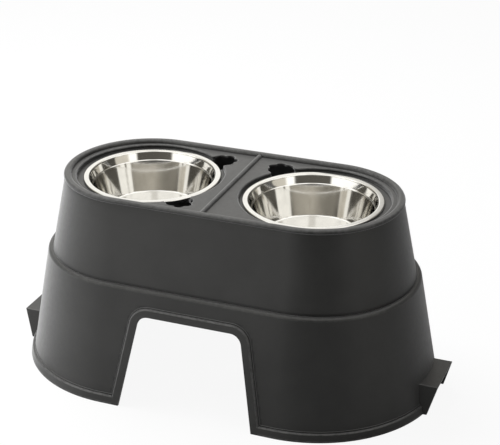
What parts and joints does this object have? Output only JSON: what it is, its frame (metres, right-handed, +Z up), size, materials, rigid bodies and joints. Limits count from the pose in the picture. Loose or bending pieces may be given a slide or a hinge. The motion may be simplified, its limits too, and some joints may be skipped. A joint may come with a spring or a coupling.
{
  "type": "elevated pet bowl",
  "caption": "Raised pet feeder: a moulded stand in two shells, with arches and end grips, and lift-out steel bowls in its top.",
  "frame": {"origin": "on the floor, under the middle of the stand", "axes": "+X along the stand, +Y to the back, +Z up; the front is the long side with one finger hole"},
  "size_m": [0.6858, 0.3874, 0.3048],
  "materials": {
    "upper_shell": "moulded polypropylene, charcoal grey, satin",
    "lower_shell": "moulded polypropylene, charcoal grey, satin",
    "bowl_steel": "spun stainless steel, polished"
  },
  "bodies": {
    "stand": {"top_tray": "upper_shell", "base_skirt": "lower_shell"},
    "left_bowl_body": {"left_bowl": "bowl_steel"},
    "right_bowl_body": {"right_bowl": "bowl_steel"}
  },
  "joints": [
    {"name": "left_bowl_lift", "type": "slide", "parent": "stand", "child": "left_bowl_body", "axis": [0, 0, 1], "range_m": [0, 0.09]},
    {"name": "right_bowl_lift", "type": "slide", "parent": "stand", "child": "right_bowl_body", "axis": [0, 0, 1], "range_m": [0, 0.09]}
  ]
}
